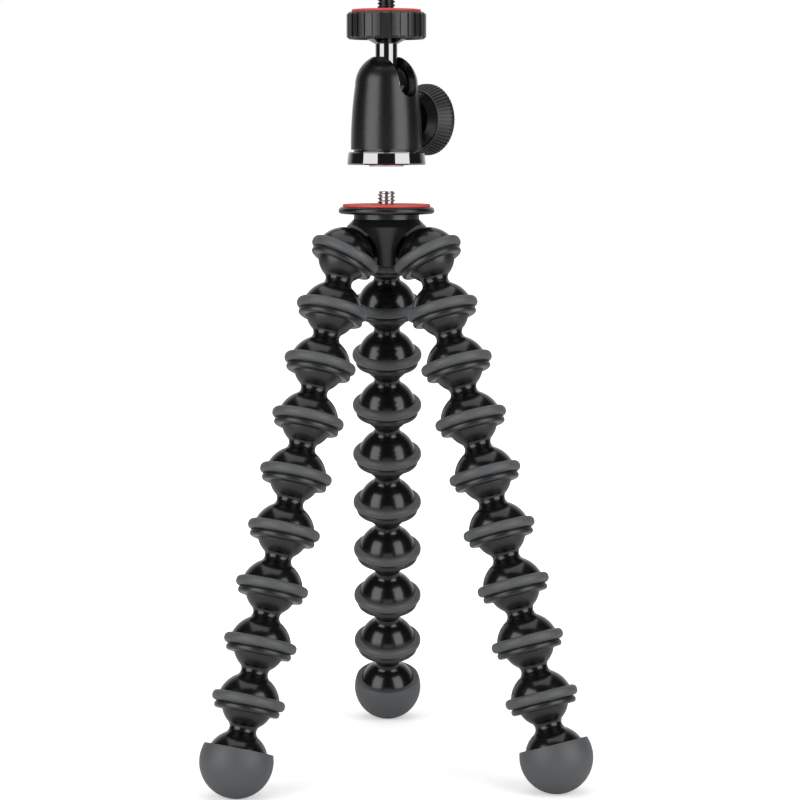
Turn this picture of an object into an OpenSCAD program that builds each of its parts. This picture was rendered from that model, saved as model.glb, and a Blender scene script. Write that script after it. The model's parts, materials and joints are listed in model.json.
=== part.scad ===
// Flexible leg tripod: three legs of ball-and-cup links, a hub with a camera platform and a ball head.
// Millimetres, Z up, floor at z = 0, hub axis at x = y = 0, the photographed front towards -Y.

/* [Leg links] */
// Cup links in each leg, without the foot link
link_count = 8; // [5:1:10]
// Distance between the ball centres of two neighbouring links
link_pitch = 20; // [19:0.5:24]
// Radius of the ball on top of a link
ball_r = 9; // [8.5:0.1:9.2]
// Gap between a ball and the cup round it
ball_clearance = 0.2; // [0.15:0.05:0.3]
// Wall of the cup
cup_wall = 1.6; // [1.4:0.1:2]
// Radius of the hollow round the waist of a link
waist_fillet = 2.35; // [2:0.05:2.6]
// Depth of the cup's rim below the ball centre, which holds the ball in
rim_depth = 3.2; // [2.8:0.1:3.6]
// How far the lip stands out from the cup
lip_projection = 0.6; // [0.3:0.1:1]

/* [Grip rings] */
// How far a grip ring stands out from the cup
ring_projection = 1.9; // [1.5:0.1:2.2]
// Height of a grip ring
ring_height = 3.7; // [3:0.1:4.2]
// Height of a grip ring's middle over the ball centre in its cup
ring_lift = 1; // [0.8:0.1:1.4]
// Depth of the groove that holds a grip ring
ring_groove = 0.8; // [0.5:0.1:0.9]
// Rounding of a grip ring's outer edges
ring_round = 1.6; // [0.8:0.1:1.8]

/* [Feet] */
// Wall of the rubber foot
foot_wall = 1.9; // [1.5:0.1:2.5]
// Gap between a foot link and the rubber foot
foot_clearance = 0.05; // [0.03:0.01:0.1]
// Height of the rubber foot's rim over its centre
foot_rim = 4.3; // [3.5:0.1:5]
// Depth of the flat that a foot stands on
foot_flat = 0.3; // [0.2:0.1:0.5]

/* [Stance] */
// Height of the platform pad's top over the floor
platform_height = 201.2; // [196:0.2:203]
// Direction of the left leg, from +X towards +Y
left_azimuth = 232; // [222:1:240]
// Direction of the right leg
right_azimuth = 318; // [310:1:324]
// Direction of the rear leg
rear_azimuth = 90; // [84:1:96]
// Lean of the left leg's first link from the vertical
left_lean = 20.1; // [16:0.1:22]
// Lean of the right leg's first link
right_lean = 19.5; // [16:0.1:22]
// Lean of the rear leg's first link
rear_lean = 16.7; // [14:0.1:22]

/* [Hub] */
// Distance of a socket's ball centre from the hub axis
socket_radius = 17.3; // [17:0.1:19]
// Depth of a socket's ball centre below the pad's top
socket_drop = 18.6; // [18:0.1:20]
// Tilt of a socket from the vertical
socket_tilt = 30; // [26:1:34]
// Radius of the neck below the plate
neck_r = 11.6; // [10:0.1:12.5]
// Length of the neck
neck_length = 1.8; // [1.2:0.1:2.4]
// Radius of the hub's shoulder
shoulder_r = 14.2; // [13:0.1:15]
// Height of the shoulder's slope
shoulder_height = 2.6; // [2:0.1:3]
// Radius of the tip between the sockets
tip_r = 6.5; // [5.5:0.1:7.5]
// Depth of that tip below the socket centres
tip_depth = 3.4; // [2.5:0.1:4]
// Radius of the spine that joins the sockets
spine_r = 8; // [7.5:0.1:8.5]
// Gap between the front panels and the socket domes
panel_gap = 1.2; // [0.8:0.1:1.4]

/* [Camera platform] */
// Radius of the platform plate
plate_r = 17.05; // [16:0.05:18]
// Thickness of the platform plate
plate_thickness = 2.5; // [2:0.1:3]
// Radius of the platform pad
pad_r = 15.6; // [14:0.1:15.8]
// Thickness of the platform pad
pad_thickness = 1; // [0.8:0.1:1.4]
// Radius of a quarter-inch camera screw
screw_r = 3.175; // [3:0.025:3.3]
// Radius of the screws' plain shank
shank_r = 2.85; // [2.6:0.05:2.95]
// Gap between a pad and the thread over it
thread_gap = 0.3; // [0.2:0.05:0.5]
// Free length of the platform screw
stud_length = 4.6; // [4:0.1:5.5]
// Radius of the screw's flange under the plate
stud_flange_r = 5.6; // [5:0.1:6.5]
// Thickness of that flange
stud_flange = 1.5; // [1:0.1:1.7]
// Depth of the screw's shank below the flange
stud_shank = 8; // [6:0.5:9]

/* [Head base] */
// Height of the lifted head's base over the pad
head_lift = 13.9; // [13:0.1:20]
// Radius of the base disc at its foot
base_r = 14; // [13.5:0.1:14.5]
// Radius of the base disc at its top
base_top_r = 13.6; // [13:0.1:13.9]
// Height of the base disc
base_height = 4.6; // [4:0.1:5.2]
// Radius of the spigot that the housing pans on
spigot_r = 6.2; // [5.9:0.1:6.4]
// Length of the spigot over the base disc
spigot_length = 5.6; // [5.4:0.1:6]
// Radius of the bush in the base
bush_r = 4.6; // [4.3:0.1:4.8]
// Radius of the bush's flange
bush_flange_r = 6.2; // [5.6:0.1:6.8]
// Thickness of the bush's flange
bush_flange = 0.6; // [0.4:0.1:0.8]
// Depth of the bush's thread
bush_depth = 6.6; // [6:0.1:7.5]
// Thickness of the pan washer
washer_thickness = 0.6; // [0.4:0.1:0.8]
// Radius of the pan washer
washer_r = 11.6; // [11:0.1:12]
// Thickness of the ring that holds the housing on the spigot
retainer_thickness = 0.8; // [0.6:0.1:1]
// Radius of that ring
retainer_r = 7.2; // [7:0.1:7.4]

/* [Ball housing] */
// Radius of the housing at its foot
housing_r = 12.6; // [12.3:0.1:12.8]
// Height of the housing's widest ring over its foot
housing_belly = 2; // [1:0.5:4]
// Radius of the housing's dome
dome_r = 11.1; // [10.8:0.1:11.4]
// Height of the head's ball centre over the base
head_ball_height = 28; // [27.5:0.1:29]
// Radius of the head's ball
head_ball_r = 8; // [7.8:0.1:8.2]
// Gap round the head's ball
head_ball_clearance = 0.2; // [0.15:0.05:0.3]
// Radius of the opening that the stem stands in
mouth_r = 4.9; // [4.6:0.1:5.2]
// Gap between the stem and the slot's sides
slot_clearance = 0.35; // [0.25:0.05:0.5]
// Direction of the slot
slot_azimuth = -43; // [-60:1:-30]
// Radius of the seat cup under the ball
seat_r = 6.6; // [6.4:0.1:6.8]
// Height of the seat cup's foot over the base
seat_foot = 11.6; // [11.4:0.1:12]
// Gap between sliding and turning pieces
running_clearance = 0.1; // [0.08:0.01:0.15]

/* [Clamp knob] */
// Height of the knob's axis over the base
knob_height = 16; // [15.5:0.1:16.5]
// Angle between the slot and the knob
knob_angle = 90; // [85:1:95]
// Distance of the knob's inner face from the head's axis
knob_start = 13.4; // [13.2:0.1:14]
// Length of the knob's dome
knob_dome = 2.4; // [2:0.1:3]
// Radius where the dome meets the toothed rim
knob_core_r = 9.8; // [9:0.1:10.5]
// Radius of the toothed rim
knob_r = 12.8; // [12:0.1:13]
// Length of the rim's cone
knob_cone = 4.6; // [4:0.1:5]
// Length of the rim's outer band
knob_band = 2; // [1.5:0.1:2.5]
// Teeth round the rim
knob_teeth = 56; // [40:2:64]
// Width of the grooves between the teeth
tooth_gap = 0.6; // [0.5:0.05:0.8]
// Depth of those grooves
tooth_depth = 0.5; // [0.3:0.05:0.7]
// Radius of the clamp screw
clamp_screw_r = 2.5; // [2.2:0.1:2.8]
// Length of the brass shoe
shoe_length = 2; // [1.5:0.1:2.4]
// Gap between the open shoe and the seat cup
shoe_gap = 0.5; // [0.45:0.05:0.7]

/* [Stem and lock ring] */
// Radius of the stem
stem_r = 3.9; // [3.7:0.05:4]
// Height of the stem's cone over the ball centre
stem_length = 14.5; // [14:0.1:15.5]
// Height of the cone
stem_cone = 1.7; // [1.3:0.1:2.2]
// Radius of the flange on the cone
stem_flange_r = 7; // [6.5:0.1:7.5]
// Height of the flange
stem_flange = 1.8; // [1.4:0.1:2.2]
// Depth of the camera screw in the stem
screw_depth = 6; // [4:0.5:8]
// Radius of the lock ring
lock_r = 14.05; // [13.5:0.05:14.5]
// Height of the lock ring
lock_height = 9.4; // [9:0.1:10]
// Wall of the lock ring's skirt
lock_wall = 1.8; // [1.5:0.1:2.2]
// Thickness of the lock ring's top
lock_top = 2.2; // [1.8:0.1:2.8]
// Radius of the lock ring's boss
lock_boss_r = 5.8; // [5.2:0.1:6.4]
// Spokes under the lock ring
lock_spokes = 6; // [4:1:8]
// Flutes round the lock ring
lock_flutes = 28; // [24:2:36]
// Width of a flute
flute_width = 0.9; // [0.6:0.1:1.2]
// Chamfer of the lock ring's edges
lock_chamfer = 0.8; // [0.5:0.1:1]
// Depth of a flute
flute_depth = 0.45; // [0.3:0.05:0.7]
// Gap between the lock ring's boss and the stem's flange
lock_gap = 0.3; // [0.2:0.05:0.5]
// Radius of the red pad on the lock ring
lock_pad_r = 12.25; // [11.5:0.05:12.6]
// Thickness of that pad
lock_pad = 1; // [0.8:0.1:1.4]
// Free length of the camera screw at rest
camera_screw_length = 5; // [4.5:0.1:6]

/* [Hidden] */
$fn = 96;
LEGS = ["left", "right", "rear"];
// Bare clearance that a mesh boolean needs to cut right through a face
over = 1;
press_gap = 0.05;
edge_round = 0.5;
lip_round = 1;
// Half side of a block that is larger than the whole tripod
far = 200;

cavity_r = ball_r + ball_clearance;
cup_r = cavity_r + cup_wall;
lip_r = cup_r + lip_projection;
ring_r = cup_r + ring_projection;
groove_r = cup_r - ring_groove;
ring_low = ring_lift - ring_height / 2;
ring_high = ring_lift + ring_height / 2;
foot_r = cup_r + foot_clearance + foot_wall;
foot_centre = foot_r - foot_flat;

socket_azimuths = [210, 330, 90];
leg_azimuths = [left_azimuth, right_azimuth, rear_azimuth];
top_leans = [left_lean, right_lean, rear_lean];
socket_height = platform_height - socket_drop;
leg_drop = socket_height - foot_centre;

plate_top = -pad_thickness;
plate_foot = plate_top - plate_thickness;
neck_foot = plate_foot - neck_length;
shoulder_foot = neck_foot - shoulder_height;
tip_foot = -socket_drop - tip_depth;

housing_foot = base_height + washer_thickness + running_clearance;
retainer_height = base_height + spigot_length - 2 * retainer_thickness;
cavity_head_r = head_ball_r + head_ball_clearance;
seat_bore_r = seat_r + running_clearance;
barrel_start = housing_foot + housing_belly;
barrel_rise = head_ball_height - barrel_start;
barrel_r = (pow(barrel_rise, 2) + pow(housing_r - dome_r, 2)) / (2 * (housing_r - dome_r));
slot_half = stem_r + slot_clearance;
mouth_height = sqrt(pow(dome_r, 2) - pow(mouth_r, 2));

flange_foot = head_ball_height + stem_length + stem_cone;
flange_top = flange_foot + stem_flange;
lock_boss_foot = flange_top + lock_gap;
lock_foot = flange_foot;
lock_high = lock_foot + lock_height;
screw_bore_r = screw_r + running_clearance;
lock_pad_high = lock_high + lock_pad;
camera_screw_top = lock_pad_high + camera_screw_length;
knob_azimuth = slot_azimuth + knob_angle;
shoe_start = seat_r + shoe_gap;
screw_start = shoe_start + shoe_length + running_clearance;
cone_start = knob_start + knob_dome;
cone_end = cone_start + knob_cone;
knob_end = cone_end + knob_band;
cone_r = knob_core_r + edge_round;
cone_lean = atan2(knob_r - cone_r, knob_cone);
tooth_start = edge_round;

function total(v, i = 0) = i < len(v) ? v[i] + total(v, i + 1) : 0;
function leg_fall(top, low) =
    link_pitch * total([for (k = [0 : link_count]) cos(top + (low - top) * k / link_count)]);
// Lean of the last link at which the foot stands on the floor, found by halving
function foot_lean(top, least = 0, most = 60, tries = 40) =
    let (mid = (least + most) / 2)
    tries == 0 ? mid
    : leg_fall(top, mid) > leg_drop ? foot_lean(top, mid, most, tries - 1)
    : foot_lean(top, least, mid, tries - 1);
low_leans = [for (top = top_leans) foot_lean(top)];
function lean(leg, k) = top_leans[leg] + (low_leans[leg] - top_leans[leg]) * (k - 1) / link_count;
function direction(azimuth, tilt) =
    [sin(tilt) * cos(azimuth), sin(tilt) * sin(azimuth), -cos(tilt)];
function socket_centre(leg) =
    [socket_radius * cos(socket_azimuths[leg]), socket_radius * sin(socket_azimuths[leg]), socket_height];
function joint_centre(leg, k) =
    k == 1 ? socket_centre(leg)
    : joint_centre(leg, k - 1) + link_pitch * direction(leg_azimuths[leg], lean(leg, k - 1));

// Waist circle tangent to the ball and to the dome below it
waist_z = (pow(cup_r, 2) - pow(ball_r, 2) + 2 * waist_fillet * (cup_r - ball_r) - pow(link_pitch, 2))
    / (2 * link_pitch);
waist_x = sqrt(pow(ball_r + waist_fillet, 2) - pow(waist_z, 2));

// Shared outlines and placing

module right_half() {
    intersection() {
        translate([0, -far]) square([far, 2 * far]);
        children();
    }
}

// Rectangle from r0 to r1 and z0 to z1 with its two outer corners rounded
module band(r0, r1, z0, z1, r) {
    intersection() {
        translate([r0, z0]) square([r1 - r0, z1 - z0]);
        union() {
            translate([r0, z0]) square([r1 - r0 - r, z1 - z0]);
            translate([r0, z0 + r]) square([r1 - r0, z1 - z0 - 2 * r]);
            for (z = [z0 + r, z1 - r]) translate([r1 - r, z]) circle(r);
        }
    }
}

module hang(azimuth, tilt) {
    rotate([0, 0, azimuth]) rotate([0, -tilt, 0]) children();
}

module at_socket(leg) {
    translate(socket_centre(leg)) hang(socket_azimuths[leg], socket_tilt) children();
}

module at_link(leg, k) {
    translate(joint_centre(leg, k)) hang(leg_azimuths[leg], lean(leg, k)) children();
}

module at_platform() {
    translate([0, 0, platform_height]) children();
}

module at_head() {
    translate([0, 0, platform_height + head_lift]) children();
}

module at_knob() {
    at_head() translate([0, 0, knob_height]) rotate([0, 0, knob_azimuth]) rotate([0, 90, 0]) children();
}

// Ball joint pieces, drawn round the ball centre

module cup_outline() {
    circle(cup_r);
    band(0, lip_r, -rim_depth, ring_low, lip_round);
}

module cup_hollow() {
    circle(cavity_r);
    translate([0, -rim_depth - 2 * cup_r]) square([2 * cup_r, 2 * cup_r]);
    translate([groove_r, ring_low]) square([cup_r, ring_height]);
}

module grip_ring() {
    rotate_extrude()
        band(groove_r + press_gap, ring_r, ring_low + press_gap, ring_high - press_gap, ring_round);
}

module shank_outline() {
    circle(ball_r);
    difference() {
        polygon([[0, 0], [waist_x, waist_z], [0, -link_pitch]]);
        translate([waist_x, waist_z]) circle(waist_fillet);
    }
}

// Hub and camera platform

module hub_core() {
    rotate_extrude()
        polygon([[0, plate_foot], [neck_r, plate_foot], [neck_r, neck_foot], [shoulder_r, shoulder_foot],
                 [tip_r, tip_foot], [0, tip_foot]]);
}

module hub_body() {
    color("#26272a") difference() {
        union() {
            difference() {
                at_platform() hub_core();
                for (leg = [0 : 2]) at_socket(leg) {
                    sphere(cup_r + panel_gap);
                    translate([0, 0, ring_low - rim_depth])
                        cylinder(r = ring_r + panel_gap / 2, h = ring_height + rim_depth + panel_gap / 2);
                }
            }
            at_platform() translate([0, 0, -socket_drop]) cylinder(r = spine_r, h = socket_drop + neck_foot);
            for (leg = [0 : 2]) at_socket(leg) rotate_extrude() right_half() cup_outline();
        }
        for (leg = [0 : 2]) at_socket(leg) rotate_extrude() right_half() cup_hollow();
        at_platform() {
            translate([0, 0, plate_foot - stud_flange - press_gap])
                cylinder(r = stud_flange_r + press_gap, h = stud_flange + over);
            translate([0, 0, plate_foot - stud_flange - stud_shank - press_gap])
                cylinder(r = screw_r + press_gap, h = stud_shank + over);
        }
    }
}

module hub_grip_rings() {
    color("#5e6063") for (leg = [0 : 2]) at_socket(leg) grip_ring();
}

module platform_plate() {
    color("#1c1d1f") at_platform() difference() {
        rotate_extrude() band(0, plate_r, plate_foot, plate_top, plate_thickness / 2 - press_gap);
        translate([0, 0, plate_foot - over])
            cylinder(r = screw_r + press_gap, h = plate_thickness + 2 * over);
    }
}

module platform_pad() {
    color("#d94a42") at_platform() difference() {
        rotate_extrude() band(0, pad_r, plate_top, 0, pad_thickness / 3);
        translate([0, 0, plate_top - over]) cylinder(r = screw_r + press_gap, h = pad_thickness + 2 * over);
    }
}

module platform_screw() {
    color("#c8cacc") at_platform() {
        translate([0, 0, plate_foot - stud_flange]) cylinder(r = stud_flange_r, h = stud_flange);
        translate([0, 0, plate_foot - stud_flange - stud_shank])
            cylinder(r = shank_r, h = stud_shank + stud_flange - plate_foot + stud_length - edge_round);
        translate([0, 0, thread_gap]) cylinder(r = screw_r, h = stud_length - edge_round - thread_gap);
        translate([0, 0, stud_length - edge_round])
            cylinder(r1 = screw_r, r2 = screw_r - edge_round, h = edge_round);
    }
}

// Legs

module leg_link(leg, k) {
    at_link(leg, k) {
        color("#1b1c1e") rotate_extrude() right_half() difference() {
            union() {
                shank_outline();
                translate([0, -link_pitch]) cup_outline();
            }
            translate([0, -link_pitch]) cup_hollow();
        }
        color("#5e6063") translate([0, 0, -link_pitch]) grip_ring();
    }
}

module leg_foot_link(leg) {
    color("#1b1c1e") at_link(leg, link_count + 1) {
        rotate_extrude() right_half() difference() {
            shank_outline();
            translate([0, -link_pitch]) circle(cup_r - ring_groove);
        }
        translate([0, 0, -link_pitch]) sphere(cup_r);
    }
}

module leg_foot_pad(leg) {
    color("#5e6063") difference() {
        at_link(leg, link_count + 1) translate([0, 0, -link_pitch])
            rotate_extrude() right_half() difference() {
                circle(foot_r);
                circle(cup_r + foot_clearance);
                translate([0, foot_rim]) square([2 * foot_r, 2 * foot_r]);
            }
        translate([-far, -far, -far]) cube([2 * far, 2 * far, far]);
    }
}

// Ball head

module head_base_disc() {
    color("#111214") at_head() difference() {
        rotate_extrude() {
            polygon([[0, 0], [base_r - edge_round, 0], [base_r, edge_round],
                     [base_top_r, base_height - edge_round], [base_top_r - edge_round, base_height],
                     [0, base_height]]);
            square([spigot_r, base_height + spigot_length]);
        }
        translate([0, 0, -over]) cylinder(r = bush_r + press_gap, h = bush_depth + over + 2 * press_gap);
        translate([0, 0, retainer_height]) difference() {
            cylinder(r = spigot_r + over, h = retainer_thickness);
            cylinder(r = spigot_r - retainer_thickness, h = retainer_thickness);
        }
    }
}

module head_base_bush() {
    color("#b9bbbd") at_head() difference() {
        union() {
            translate([0, 0, -bush_flange]) cylinder(r = bush_flange_r, h = bush_flange);
            cylinder(r = bush_r, h = bush_depth);
        }
        translate([0, 0, -bush_flange - over])
            cylinder(r = screw_bore_r, h = bush_flange + bush_depth - edge_round + over);
    }
}

module pan_washer() {
    color("#2b2c2e") at_head() translate([0, 0, base_height]) difference() {
        cylinder(r = washer_r, h = washer_thickness);
        translate([0, 0, -over]) cylinder(r = spigot_r + press_gap, h = washer_thickness + 2 * over);
    }
}

module pan_retaining_ring() {
    color("#9fa1a3") at_head() translate([0, 0, retainer_height + press_gap]) difference() {
        cylinder(r = retainer_r, h = retainer_thickness - 2 * press_gap);
        translate([0, 0, -over])
            cylinder(r = spigot_r - retainer_thickness + press_gap, h = retainer_thickness + 2 * over);
    }
}

module housing_outline() {
    intersection() {
        translate([housing_r - barrel_r, barrel_start]) circle(barrel_r, $fn = 360);
        translate([0, housing_foot]) square([2 * housing_r, head_ball_height - housing_foot]);
    }
    intersection() {
        translate([0, head_ball_height]) circle(dome_r);
        translate([0, head_ball_height - edge_round]) square([2 * dome_r, mouth_height + edge_round]);
    }
}

module ball_housing() {
    color("#1a1b1d") difference() {
        at_head() difference() {
            rotate_extrude() right_half() housing_outline();
            translate([0, 0, head_ball_height]) sphere(cavity_head_r);
            translate([0, 0, head_ball_height]) cylinder(r = mouth_r, h = 2 * dome_r);
            translate([0, 0, seat_foot]) cylinder(r = seat_bore_r, h = head_ball_height - seat_foot);
            translate([0, 0, housing_foot - over])
                cylinder(r = spigot_r + running_clearance,
                         h = seat_foot - housing_foot + over - 2 * press_gap);
            translate([0, 0, retainer_height - running_clearance])
                cylinder(r = retainer_r + running_clearance, h = retainer_thickness + 2 * running_clearance);
            rotate([0, 0, slot_azimuth]) translate([0, 0, head_ball_height]) {
                rotate([0, 90, 0]) cylinder(r = slot_half, h = 2 * dome_r);
                translate([0, -slot_half, 0]) cube([2 * dome_r, 2 * slot_half, 2 * dome_r]);
            }
        }
        at_knob() cylinder(r = clamp_screw_r + running_clearance, h = 2 * housing_r);
    }
}

module ball_seat_cup() {
    color("#d8d6cf") at_head() difference() {
        translate([0, 0, seat_foot]) cylinder(r = seat_r, h = head_ball_height - seat_foot);
        translate([0, 0, head_ball_height]) sphere(cavity_head_r);
    }
}

module clamp_knob_core() {
    color("#1d1e20") at_knob() difference() {
        rotate_extrude()
            polygon([[0, knob_start], [knob_core_r - knob_dome, knob_start], [knob_core_r, cone_start],
                     [knob_core_r, knob_end], [0, knob_end]]);
        translate([0, 0, knob_start - over])
            cylinder(r = clamp_screw_r + press_gap, h = knob_dome + knob_cone + over);
    }
}

// Groove between two teeth: along the cone, then along the outer band
module tooth_groove() {
    translate([cone_r, -tooth_gap / 2, cone_start]) rotate([0, cone_lean, 0])
        translate([-tooth_depth, 0, tooth_start]) cube([over, tooth_gap, knob_cone]);
    translate([knob_r - tooth_depth, -tooth_gap / 2, cone_end - tooth_depth])
        cube([over, tooth_gap, knob_band + over]);
}

module clamp_knob_rim() {
    color("#34363a") at_knob() difference() {
        rotate_extrude()
            polygon([[knob_core_r + press_gap, cone_start], [cone_r, cone_start], [knob_r, cone_end],
                     [knob_r, knob_end - edge_round], [knob_r - edge_round, knob_end],
                     [knob_core_r + press_gap, knob_end]]);
        for (i = [0 : knob_teeth - 1]) rotate([0, 0, (i + 0.5) * 360 / knob_teeth]) tooth_groove();
    }
}

module clamp_screw() {
    color("#b4b6b8") at_knob() translate([0, 0, screw_start])
        cylinder(r = clamp_screw_r, h = cone_end - screw_start - press_gap);
}

module clamp_shoe() {
    color("#b08d4a") at_knob() translate([0, 0, shoe_start]) cylinder(r = clamp_screw_r, h = shoe_length);
}

module ball_stem() {
    color("#17181a") at_head() difference() {
        union() {
            translate([0, 0, head_ball_height]) sphere(head_ball_r);
            translate([0, 0, head_ball_height]) cylinder(r = stem_r, h = stem_length);
            translate([0, 0, head_ball_height + stem_length])
                cylinder(r1 = stem_r, r2 = stem_flange_r, h = stem_cone);
            translate([0, 0, flange_foot]) cylinder(r = stem_flange_r, h = stem_flange);
        }
        translate([0, 0, flange_top - screw_depth - press_gap])
            cylinder(r = screw_r + press_gap, h = screw_depth + over);
    }
}

module camera_screw() {
    color("#2a2b2d") at_head() {
        translate([0, 0, flange_top - screw_depth])
            cylinder(r = shank_r, h = camera_screw_top - edge_round - flange_top + screw_depth);
        translate([0, 0, lock_pad_high + thread_gap])
            cylinder(r = screw_r, h = camera_screw_length - edge_round - thread_gap);
        translate([0, 0, camera_screw_top - edge_round])
            cylinder(r1 = screw_r, r2 = screw_r - edge_round, h = edge_round);
    }
}

module lock_ring() {
    color("#1e1f21") at_head() difference() {
        union() {
            translate([0, 0, lock_foot]) difference() {
                rotate_extrude()
                    polygon([[0, 0], [lock_r - lock_chamfer, 0], [lock_r, lock_chamfer],
                             [lock_r, lock_height - lock_chamfer], [lock_r - lock_chamfer, lock_height],
                             [0, lock_height]]);
                translate([0, 0, -over]) cylinder(r = lock_r - lock_wall, h = lock_height - lock_top + over);
            }
            translate([0, 0, lock_boss_foot]) cylinder(r = lock_boss_r, h = lock_high - lock_boss_foot);
            for (i = [0 : lock_spokes - 1]) rotate([0, 0, (i + 0.25) * 360 / lock_spokes])
                translate([0, -lock_wall / 2, lock_boss_foot])
                    cube([lock_r - lock_wall / 2, lock_wall, lock_high - lock_top / 2 - lock_boss_foot]);
        }
        translate([0, 0, lock_foot - over]) cylinder(r = screw_bore_r, h = lock_height + 2 * over);
        for (i = [0 : lock_flutes - 1]) rotate([0, 0, (i + 0.5) * 360 / lock_flutes])
            translate([lock_r - flute_depth, -flute_width / 2, lock_foot - over])
                cube([over, flute_width, lock_height + 2 * over]);
    }
}

module lock_ring_pad() {
    color("#d94a42") at_head() translate([0, 0, lock_high]) difference() {
        rotate_extrude() band(0, lock_pad_r, 0, lock_pad, lock_pad / 3);
        translate([0, 0, -over]) cylinder(r = screw_bore_r, h = lock_pad + 2 * over);
    }
}

hub_body();
hub_grip_rings();
platform_plate();
platform_pad();
platform_screw();
for (leg = [0 : 2]) {
    for (k = [1 : link_count])
        leg_link(leg, k);
    leg_foot_link(leg);
    leg_foot_pad(leg);
}
head_base_disc();
head_base_bush();
pan_washer();
pan_retaining_ring();
ball_housing();
ball_seat_cup();
clamp_knob_core();
clamp_knob_rim();
clamp_screw();
clamp_shoe();
ball_stem();
camera_screw();
lock_ring();
lock_ring_pad();
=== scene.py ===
import bpy
import json
import math
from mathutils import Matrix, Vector


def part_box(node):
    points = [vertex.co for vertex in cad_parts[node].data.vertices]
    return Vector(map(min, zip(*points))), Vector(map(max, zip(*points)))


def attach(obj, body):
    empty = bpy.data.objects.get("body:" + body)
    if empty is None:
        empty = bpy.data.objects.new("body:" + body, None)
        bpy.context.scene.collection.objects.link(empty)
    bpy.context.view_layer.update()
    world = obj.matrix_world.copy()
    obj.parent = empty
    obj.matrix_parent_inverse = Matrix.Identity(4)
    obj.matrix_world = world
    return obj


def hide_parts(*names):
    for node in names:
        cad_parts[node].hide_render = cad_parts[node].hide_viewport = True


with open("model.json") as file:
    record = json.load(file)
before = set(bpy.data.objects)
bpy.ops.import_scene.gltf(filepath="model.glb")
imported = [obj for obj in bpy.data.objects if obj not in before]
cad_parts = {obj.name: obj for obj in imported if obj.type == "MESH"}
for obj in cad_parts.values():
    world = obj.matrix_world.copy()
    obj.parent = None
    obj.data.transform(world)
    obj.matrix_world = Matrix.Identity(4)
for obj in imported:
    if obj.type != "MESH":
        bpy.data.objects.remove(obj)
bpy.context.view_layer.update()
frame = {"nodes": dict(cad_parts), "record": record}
nodes = frame["nodes"]
jointPlace = {
    joint["name"]: Vector(joint["pos_m"])
    for joint in frame["record"]["behaviour"]["joints"] if "pos_m" in joint
}
legNames = ("left", "right", "rear")
mm = 0.001
white = (1, 1, 1, 1)

# Camera, fitted to the photograph
cameraSettings = {
    "place": (0.0048, -0.987, 0.2257),
    "downTilt": 5.464,  # degrees below level
    "lens": 124.8,  # mm, on film of the next width
    "filmWidth": 36.0,
    "nearClip": 0.01,
}


def addCamera(s):
    data = bpy.data.cameras.new("photoCamera")
    data.lens = s["lens"]
    data.sensor_width = s["filmWidth"]
    data.clip_start = s["nearClip"]
    cam = bpy.data.objects.new("photoCamera", data)
    cam.location = s["place"]
    cam.rotation_euler = (math.radians(90 - s["downTilt"]), 0, 0)
    bpy.context.collection.objects.link(cam)
    bpy.context.scene.camera = cam


addCamera(cameraSettings)
print("camera set")

# Light: two tall softboxes beside the camera and a wide one above
lightSettings = {
    "aim": (0.0, 0.0, 0.14),
    "sideRadiance": 3.3,
    "sideTurn": 49.0,  # degrees from the camera's side of the object
    "sideDistance": 0.8,
    "sideRise": 0.12,  # share of the distance
    "sideSize": (0.66, 1.0),
    "topRadiance": 1.4,
    "topPlace": (0, 0.05, 0.95),
    "topSize": (0.9, 0.9),
}


def addSoftbox(name, place, aim, size, radiance):
    data = bpy.data.lights.new(name, "AREA")
    data.shape = "RECTANGLE"
    data.size, data.size_y = size
    data.energy = radiance * math.pi * size[0] * size[1]
    lamp = bpy.data.objects.new(name, data)
    lamp.location = place
    lamp.rotation_euler = (aim - Vector(place)).to_track_quat("-Z", "Y").to_euler()
    bpy.context.collection.objects.link(lamp)


def addLights(s):
    aim = Vector(s["aim"])
    for name, side in (("softboxLeft", -1), ("softboxRight", 1)):
        turn = math.radians(s["sideTurn"]) * side
        toward = Vector((math.sin(turn), -math.cos(turn), s["sideRise"]))
        place = aim + toward * s["sideDistance"]
        addSoftbox(name, place, aim, s["sideSize"], s["sideRadiance"])
    addSoftbox("softboxTop", s["topPlace"], aim, s["topSize"], s["topRadiance"])


addLights(lightSettings)

# World: white to the camera. Gloss sees a white backdrop behind the object and dim room in front
worldSettings = {
    "cameraGlow": 1.0,
    "ambient": 0.3,
    "frontGlow": 0.04,
    "backdropFrom": 0.45,  # how far the ray points to the back, from 0 to 1
    "backdropAt": 0.95,
}
mixFactor, mixFirst, mixSecond = 0, 2, 3  # number sockets of the Mix node


def addMath(tree, operation):
    node = tree.nodes.new("ShaderNodeMath")
    node.operation = operation
    return node


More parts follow.
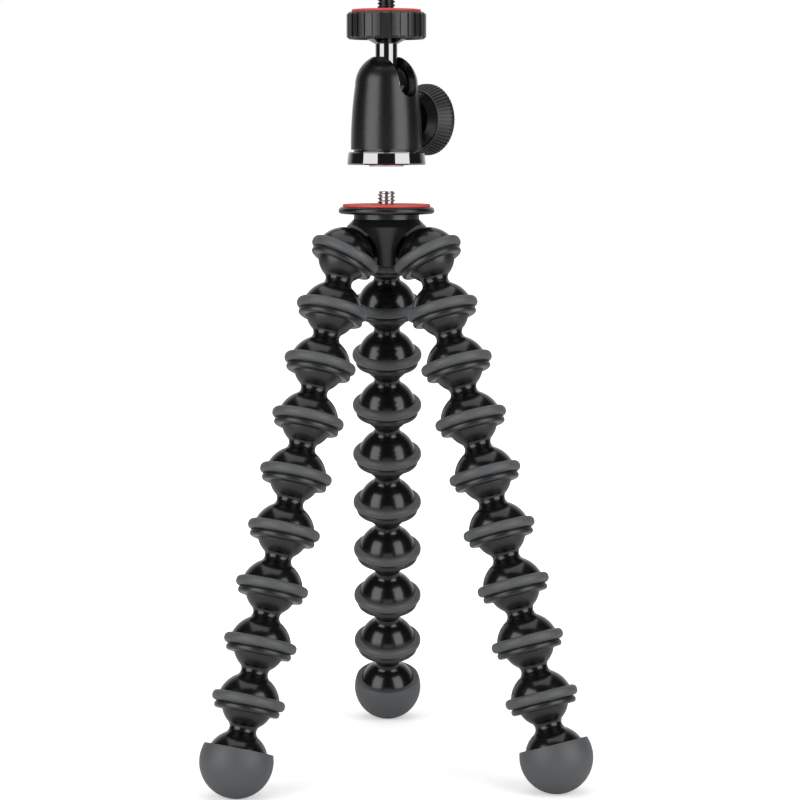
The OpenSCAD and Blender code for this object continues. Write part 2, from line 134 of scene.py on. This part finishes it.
def setWorld(s):
    world = bpy.data.worlds.new("studio")
    bpy.context.scene.world = world
    world.use_nodes = True
    tree = world.node_tree
    tree.nodes.clear()
    add, link = tree.nodes.new, tree.links.new
    out = add("ShaderNodeOutputWorld")
    back = add("ShaderNodeBackground")
    back.inputs["Color"].default_value = white
    path = add("ShaderNodeLightPath")
    coord = add("ShaderNodeTexCoord")
    split = add("ShaderNodeSeparateXYZ")
    ramp = add("ShaderNodeMapRange")
    ramp.inputs["From Min"].default_value = s["backdropFrom"]
    ramp.inputs["From Max"].default_value = s["backdropAt"]
    ramp.inputs["To Min"].default_value = s["frontGlow"]
    seen = addMath(tree, "MAXIMUM")
    gloss = add("ShaderNodeMix")
    gloss.inputs[mixFirst].default_value = s["ambient"]
    camera = add("ShaderNodeMix")
    camera.inputs[mixSecond].default_value = s["cameraGlow"]
    link(coord.outputs["Generated"], split.inputs[0])
    link(split.outputs["Y"], ramp.inputs["Value"])
    link(path.outputs["Is Glossy Ray"], seen.inputs[0])
    link(path.outputs["Is Transmission Ray"], seen.inputs[1])
    link(seen.outputs[0], gloss.inputs[mixFactor])
    link(ramp.outputs[0], gloss.inputs[mixSecond])
    link(path.outputs["Is Camera Ray"], camera.inputs[mixFactor])
    link(gloss.outputs[0], camera.inputs[mixFirst])
    link(camera.outputs[0], back.inputs["Strength"])
    link(back.outputs[0], out.inputs[0])


setWorld(worldSettings)
bpy.context.scene.view_settings.view_transform = "Standard"
print("light set")

# Grain that every finish shares: fine height and tone, broad change of gloss
grainSettings = {
    "fineDetail": 3.0,
    "broadScale": 120.0,
    "noiseMiddle": 0.5,
}
finishDefaults = {
    "color": (0.1, 0.1, 0.1),
    "roughness": 0.4,
    "grainSize": 0.4,  # mm
    "glossChange": 0.06,
    "toneChange": 0.12,
    "bump": 0.1,
    "bumpDepth": 0.2 * mm,
    "metallic": 0.0,
    "ior": 1.5,
}
grainInputs = (
    ("Roughness", "roughness"), ("Grain Size", "grainSize"),
    ("Gloss Change", "glossChange"), ("Tone Change", "toneChange"),
)


def makeMouldedGrain(s):
    tree = bpy.data.node_groups.new("mouldedGrain", "ShaderNodeTree")
    socket = tree.interface.new_socket("Color", in_out="INPUT", socket_type="NodeSocketColor")
    socket.default_value = (*finishDefaults["color"], 1)
    for label, key in grainInputs:
        socket = tree.interface.new_socket(label, in_out="INPUT", socket_type="NodeSocketFloat")
        socket.default_value = finishDefaults[key]
    tree.interface.new_socket("Color", in_out="OUTPUT", socket_type="NodeSocketColor")
    for label in ("Roughness", "Height"):
        tree.interface.new_socket(label, in_out="OUTPUT", socket_type="NodeSocketFloat")
    add, link = tree.nodes.new, tree.links.new
    given = add("NodeGroupInput")
    out = add("NodeGroupOutput")
    coord = add("ShaderNodeTexCoord")
    scale = addMath(tree, "DIVIDE")
    scale.inputs[0].default_value = 1 / mm
    fine = add("ShaderNodeTexNoise")
    fine.inputs["Detail"].default_value = s["fineDetail"]
    broad = add("ShaderNodeTexNoise")
    broad.inputs["Scale"].default_value = s["broadScale"]
    glossShift = addMath(tree, "SUBTRACT")
    glossShift.inputs[1].default_value = s["noiseMiddle"]
    gloss = addMath(tree, "MULTIPLY_ADD")
    toneShift = addMath(tree, "SUBTRACT")
    toneShift.inputs[1].default_value = s["noiseMiddle"]
    tone = addMath(tree, "MULTIPLY_ADD")
    tone.inputs[2].default_value = 1.0
    shade = add("ShaderNodeVectorMath")
    shade.operation = "SCALE"
    link(coord.outputs["Object"], fine.inputs["Vector"])
    link(coord.outputs["Object"], broad.inputs["Vector"])
    link(given.outputs["Grain Size"], scale.inputs[1])
    link(scale.outputs[0], fine.inputs["Scale"])
    link(broad.outputs["Fac"], glossShift.inputs[0])
    link(glossShift.outputs[0], gloss.inputs[0])
    link(given.outputs["Gloss Change"], gloss.inputs[1])
    link(given.outputs["Roughness"], gloss.inputs[2])
    link(fine.outputs["Fac"], toneShift.inputs[0])
    link(toneShift.outputs[0], tone.inputs[0])
    link(given.outputs["Tone Change"], tone.inputs[1])
    link(given.outputs["Color"], shade.inputs[0])
    link(tone.outputs[0], shade.inputs["Scale"])
    link(shade.outputs[0], out.inputs["Color"])
    link(gloss.outputs[0], out.inputs["Roughness"])
    link(fine.outputs["Fac"], out.inputs["Height"])
    return tree


grainGroup = makeMouldedGrain(grainSettings)


def makeFinish(name, changes):
    s = {**finishDefaults, **changes}
    mat = bpy.data.materials.new(name)
    mat.use_nodes = True
    tree = mat.node_tree
    bsdf = tree.nodes["Principled BSDF"]
    grain = tree.nodes.new("ShaderNodeGroup")
    grain.node_tree = grainGroup
    grain.inputs["Color"].default_value = (*s["color"], 1)
    for label, key in grainInputs:
        grain.inputs[label].default_value = s[key]
    bump = tree.nodes.new("ShaderNodeBump")
    bump.inputs["Strength"].default_value = s["bump"]
    bump.inputs["Distance"].default_value = s["bumpDepth"]
    tree.links.new(grain.outputs["Color"], bsdf.inputs["Base Color"])
    tree.links.new(grain.outputs["Roughness"], bsdf.inputs["Roughness"])
    tree.links.new(grain.outputs["Height"], bump.inputs["Height"])
    tree.links.new(bump.outputs["Normal"], bsdf.inputs["Normal"])
    bsdf.inputs["Metallic"].default_value = s["metallic"]
    bsdf.inputs["IOR"].default_value = s["ior"]
    return mat


finishSettings = {
    "gripRubber": {"color": (0.06, 0.0635, 0.067), "roughness": 0.5,
                   "grainSize": 0.35, "bump": 0.25},
    "glossBlack": {"color": (0.003, 0.003, 0.0032), "roughness": 0.2,
                   "bump": 0.02, "glossChange": 0.05},
    "satinBall": {"color": (0.006, 0.006, 0.0065), "roughness": 0.33,
                  "bump": 0.06, "grainSize": 0.5},
    # The lip is the ring's rubber in a satin finish; its colour is set far darker than the ring's as
    # painted shade of its downward face
    "lipPaintedShade": {"color": (0.012, 0.0125, 0.013), "roughness": 0.34,
                 "bump": 0.08, "grainSize": 0.5},
    "hubSatin": {"color": (0.006, 0.0062, 0.0068), "roughness": 0.3,
                 "bump": 0.06, "grainSize": 0.45},
    "plateBlack": {"color": (0.004, 0.004, 0.0045), "roughness": 0.28, "bump": 0.05},
    "redPad": {"color": (0.55, 0.052, 0.043), "roughness": 0.6,
               "bump": 0.2, "grainSize": 0.3},
    "brightSteel": {"color": (0.62, 0.62, 0.63), "roughness": 0.2,
                    "metallic": 1.0, "bump": 0.03},
    "blackSteel": {"color": (0.09, 0.09, 0.095), "roughness": 0.25,
                   "metallic": 1.0, "bump": 0.03},
    "blackChrome": {"color": (0.23, 0.23, 0.235), "roughness": 0.06,
                    "metallic": 1.0, "bump": 0.0, "glossChange": 0.02},
    "bushMetal": {"color": (0.5, 0.5, 0.51), "roughness": 0.5,
                  "metallic": 0.3, "bump": 0.05},
    "powderBlack": {"color": (0.005, 0.005, 0.0055), "roughness": 0.27,
                    "bump": 0.16, "grainSize": 0.28, "toneChange": 0.5},
    "knobSatin": {"color": (0.005, 0.005, 0.0055), "roughness": 0.26, "bump": 0.05},
    "knobRubber": {"color": (0.014, 0.015, 0.017), "roughness": 0.45,
                   "bump": 0.15, "grainSize": 0.3},
    "lockBlack": {"color": (0.01, 0.01, 0.0105), "roughness": 0.34,
                  "bump": 0.12, "grainSize": 0.35},
    "seatNylon": {"color": (0.6, 0.58, 0.54), "roughness": 0.5, "bump": 0.05},
    "shoeBrass": {"color": (0.6, 0.42, 0.16), "roughness": 0.3,
                  "metallic": 1.0, "bump": 0.05},
}
finish = {name: makeFinish(name, changes) for name, changes in finishSettings.items()}
print("finishes made:", len(finish))

edgeSettings = {
    "sharpAngle": 35,  # degrees, above which shading breaks
    "roundAngle": 50,  # degrees, above which an edge is rounded
    "roundSteps": 3,
}


def dress(obj, finishNames):
    obj.data.materials.clear()
    for name in finishNames:
        obj.data.materials.append(finish[name])
    for face in obj.data.polygons:
        face.use_smooth = True
    obj.data.set_sharp_from_angle(angle=math.radians(edgeSettings["sharpAngle"]))


def roundEdges(obj, width):
    bevel = obj.modifiers.new("roundEdges", "BEVEL")
    bevel.width = width
    bevel.segments = edgeSettings["roundSteps"]
    bevel.limit_method = "ANGLE"
    bevel.angle_limit = math.radians(edgeSettings["roundAngle"])


# Pieces of one finish each. The two threaded screws come further down
plainFinish = {
    "hub_grip_rings": "gripRubber",
    "platform_plate": "plateBlack",
    "platform_pad": "redPad",
    "head_base_disc": "blackChrome",
    "head_base_bush": "bushMetal",
    "pan_washer": "plateBlack",
    "pan_retaining_ring": "brightSteel",
    "ball_housing": "powderBlack",
    "ball_seat_cup": "seatNylon",
    "clamp_knob_core": "knobSatin",
    "clamp_knob_rim": "knobRubber",
    "clamp_screw": "brightSteel",
    "clamp_shoe": "shoeBrass",
    "ball_stem": "blackChrome",
    "lock_ring": "lockBlack",
    "lock_ring_pad": "redPad",
}
for nodeName, finishName in plainFinish.items():
    dress(nodes[nodeName], [finishName])
print("plain pieces dressed:", len(plainFinish))

# Links: glossy waist and dome, satin ball, rubber ring, and a satin lip coloured darker than the
# ring as painted shade, told apart by place on the link
linkSettings = {
    "finishes": ("glossBlack", "satinBall", "gripRubber", "lipPaintedShade"),
    "ballRadius": 9.05 * mm,
    "ballEnd": 7.1 * mm,
    "ringLow": -0.83 * mm,
    "ringHigh": 2.83 * mm,
    "ringInside": 10.02 * mm,
}
footSettings = {"finish": "gripRubber", "round": 0.6 * mm}


def dressLink(obj, ballCentre, cupCentre, hasRing, s):
    dress(obj, s["finishes"])
    place = {name: i for i, name in enumerate(s["finishes"])}
    along = (cupCentre - ballCentre).normalized()
    for face in obj.data.polygons:
        fromBall = face.center - ballCentre
        rise = (cupCentre - face.center).dot(along)
        reach = (face.center - cupCentre + along * rise).length
        if fromBall.length < s["ballRadius"] and fromBall.dot(along) < s["ballEnd"]:
            face.material_index = place["satinBall"]
        elif not hasRing:
            face.material_index = place["glossBlack"]
        elif s["ringLow"] < rise < s["ringHigh"] and reach > s["ringInside"]:
            face.material_index = place["gripRubber"]
        # Faces below the ring take the lip finish, whose darker colour is painted shade
        elif rise < s["ringLow"]:
            face.material_index = place["lipPaintedShade"]


def dressLeg(leg):
    linkCount = sum(1 for name in nodes if name.startswith("leg_%s_link_" % leg))
    bends = [jointPlace["leg_%s_bend_%d" % (leg, k)] for k in range(1, linkCount + 2)]
    for k in range(linkCount):
        link = nodes["leg_%s_link_%d" % (leg, k + 1)]
        dressLink(link, bends[k], bends[k + 1], True, linkSettings)
    # The foot link has no cup, so it is taken to run on as the link above it does
    ankle, before = bends[-1], bends[-2]
    footLink = nodes["leg_%s_foot_link" % leg]
    dressLink(footLink, ankle, ankle + (ankle - before), False, linkSettings)
    footPad = nodes["leg_%s_foot_pad" % leg]
    dress(footPad, [footSettings["finish"]])
    roundEdges(footPad, footSettings["round"])


for leg in legNames:
    dressLeg(leg)
print("legs dressed:", len(legNames))

# Hub: satin panels, glossy socket domes, satin lips coloured darker than the ring rubber as painted
# shade
hubSettings = {
    "finishes": ("hubSatin", "glossBlack", "lipPaintedShade"),
    "socketTilt": 30.0,  # degrees from straight down
    "socketTurns": {"left": 210.0, "right": 330.0, "rear": 90.0},
    "domeRadius": 10.85 * mm,
    "lipRise": -0.83 * mm,
    "lipReach": 12.2 * mm,
}


def dressHub(obj, s):
    dress(obj, s["finishes"])
    place = {name: i for i, name in enumerate(s["finishes"])}
    tilt = math.radians(s["socketTilt"])
    for leg in legNames:
        centre = jointPlace["leg_%s_bend_1" % leg]
        turn = math.radians(s["socketTurns"][leg])
        outward = math.sin(tilt)
        along = Vector((outward * math.cos(turn), outward * math.sin(turn), -math.cos(tilt)))
        for face in obj.data.polygons:
            offset = face.center - centre
            if -offset.dot(along) < s["lipRise"] and offset.length < s["lipReach"]:
                face.material_index = place["lipPaintedShade"]
            elif offset.length < s["domeRadius"]:
                face.material_index = place["glossBlack"]


dressHub(nodes["hub_body"], hubSettings)
print("hub dressed")

# Quarter-inch threads, cut as a helix in place of the plain screws
threadSettings = {
    "pitch": 1.27 * mm,
    "depth": 0.62 * mm,
    "radius": 3.17 * mm,
    "around": 48,
    "perTurn": 14,
    "chamfer": 0.6 * mm,
    "flankSlope": 2.6,
    "crestFlat": 0.15,
}
threadPieces = (
    ("platform_screw", "hub", "brightSteel", "steel"),
    ("camera_screw", "ball", "blackSteel", "black_screw"),
)


def makeThread(name, low, high, s):
    around = s["around"]
    rows = int((high - low) / s["pitch"] * s["perTurn"])
    points, faces = [], []
    for i in range(rows + 1):
        z = low + (high - low) * i / rows
        lead = max(0.0, z - (high - s["chamfer"]))
        for j in range(around):
            turn = j / around
            angle = turn * 2 * math.pi
            phase = (z / s["pitch"] - turn) % 1.0
            flank = min(1.0, max(0.0, abs(phase - 0.5) * s["flankSlope"] - s["crestFlat"]))
            r = min(s["radius"] - s["depth"] * flank, s["radius"] - lead)
            points.append((r * math.cos(angle), r * math.sin(angle), z))
    for i in range(rows):
        lower, upper = i * around, (i + 1) * around
        for j in range(around):
            k = (j + 1) % around
            faces.append((lower + j, lower + k, upper + k, upper + j))
    faces.append(tuple(reversed(range(around))))
    faces.append(tuple(rows * around + j for j in range(around)))
    mesh = bpy.data.meshes.new(name)
    mesh.from_pydata(points, [], faces)
    obj = bpy.data.objects.new(name, mesh)
    bpy.context.collection.objects.link(obj)
    return obj


for screwNode, body, finishName, slotName in threadPieces:
    low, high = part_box(screwNode)
    thread = makeThread(screwNode + "_thread", low[2], high[2], threadSettings)
    dress(thread, [finishName])
    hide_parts(screwNode)
    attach(thread, body)
print("threads cut:", len(threadPieces))

# Floor: pale and plain near the feet, where it keeps the shadow, and white to the camera further out
floorSettings = {
    "size": 30.0,
    "color": (0.86, 0.86, 0.86),
    "roughness": 0.9,
    "shine": 0.0,
    "glow": 0.4,
    "whiteFrom": 0.1,  # metres from the middle
    "whiteAt": 0.34,
}


def addFloor(s):
    half = s["size"] / 2
    corners = [(-half, -half, 0), (half, -half, 0), (half, half, 0), (-half, half, 0)]
    mesh = bpy.data.meshes.new("floor")
    mesh.from_pydata(corners, [], [(0, 1, 2, 3)])
    floor = bpy.data.objects.new("floor", mesh)
    bpy.context.collection.objects.link(floor)
    mat = bpy.data.materials.new("paleFloor")
    mat.use_nodes = True
    tree = mat.node_tree
    add, link = tree.nodes.new, tree.links.new
    bsdf = tree.nodes["Principled BSDF"]
    bsdf.inputs["Base Color"].default_value = (*s["color"], 1)
    bsdf.inputs["Roughness"].default_value = s["roughness"]
    bsdf.inputs["Specular IOR Level"].default_value = s["shine"]
    bsdf.inputs["Emission Color"].default_value = white
    path = add("ShaderNodeLightPath")
    place = add("ShaderNodeNewGeometry")
    reach = add("ShaderNodeVectorMath")
    reach.operation = "LENGTH"
    fade = add("ShaderNodeMapRange")
    fade.interpolation_type = "SMOOTHSTEP"
    fade.inputs["From Min"].default_value = s["whiteFrom"]
    fade.inputs["From Max"].default_value = s["whiteAt"]
    fade.inputs["To Min"].default_value = s["glow"]
    glow = addMath(tree, "MULTIPLY")
    link(place.outputs["Position"], reach.inputs[0])
    link(reach.outputs["Value"], fade.inputs["Value"])
    link(path.outputs["Is Camera Ray"], glow.inputs[0])
    link(fade.outputs[0], glow.inputs[1])
    link(glow.outputs[0], bsdf.inputs["Emission Strength"])
    floor.data.materials.append(mat)


addFloor(floorSettings)
print("floor laid")
